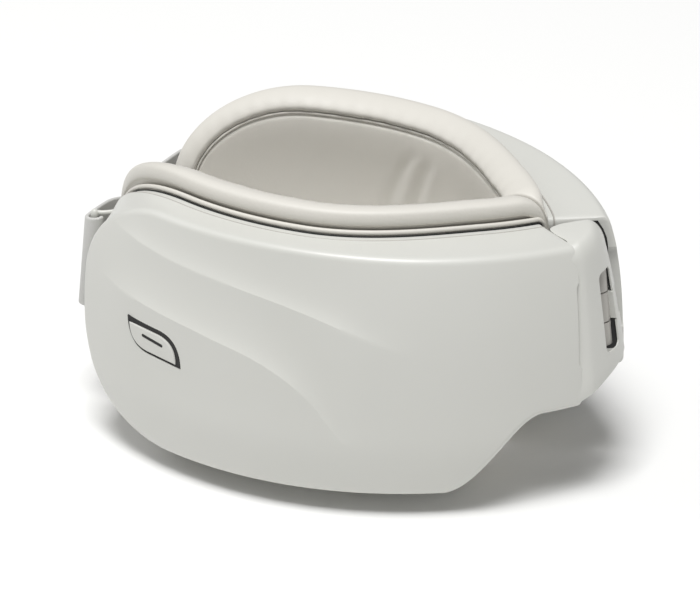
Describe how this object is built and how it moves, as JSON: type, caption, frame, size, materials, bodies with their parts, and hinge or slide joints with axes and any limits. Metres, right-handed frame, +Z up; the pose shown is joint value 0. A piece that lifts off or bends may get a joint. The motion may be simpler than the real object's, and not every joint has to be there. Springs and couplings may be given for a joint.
{
  "type": "foldable eye massager mask",
  "caption": "Folded eye massager mask: padded halves with wave-sculpted shells, joined by a hinge behind a slotted bridge panel, with webbing straps and a leaf-shaped power button.",
  "frame": {"origin": "centre of the bounding box on the floor that the folded mask stands on", "axes": "+X from the strap end to the hinge end, +Y from the half with the button to the other half, +Z up"},
  "size_m": [0.1164, 0.0884, 0.0617],
  "materials": {
    "pearl": "pearl satin",
    "inner": "moulded",
    "leather": "fine-grained artificial leather",
    "pad_fabric": "soft knitted cover",
    "webbing": "woven webbing",
    "dark": "black moulding",
    "rubber": "thin welded film",
    "steel": "plated",
    "board": "solder mask",
    "cell": "foil pouch"
  },
  "bodies": {
    "near_half": {"near_front_cover": "pearl", "near_rear_frame": "pearl", "near_seam_bead": "leather", "near_cushion_roll": "leather", "near_eye_pad": "pad_fabric", "near_heating_film": "dark", "near_air_cell": "rubber", "near_inner_tray": "inner", "near_strap": "webbing", "near_vibration_motor": "steel", "near_hinge_leaf": "steel", "button_bezel": "dark", "button_switch": "dark", "main_circuit_board": "board", "air_pump": "dark", "buzzer": "dark", "bridge_panel": "pearl", "hinge_pin": "steel"},
    "far_half": {"far_front_cover": "pearl", "far_rear_frame": "pearl", "far_seam_bead": "leather", "far_cushion_roll": "leather", "far_eye_pad": "pad_fabric", "far_heating_film": "dark", "far_air_cell": "rubber", "far_inner_tray": "inner", "far_strap": "webbing", "far_vibration_motor": "steel", "far_hinge_leaf": "steel", "battery": "cell", "far_circuit_board": "board"},
    "power_button": {"power_button": "pearl"}
  },
  "joints": [
    {"name": "fold", "type": "hinge", "parent": "near_half", "child": "far_half", "pos_m": [0.05137, 0, 0.0565], "axis": [0.1236, 0, -0.9923], "range_deg": [0, 150]},
    {"name": "button_press", "type": "slide", "parent": "near_half", "child": "power_button", "axis": [0.2395, 0.9709, 0], "range_m": [0, 0.0005], "stiffness_N_per_m": 400, "springref_m": -0.0005}
  ]
}
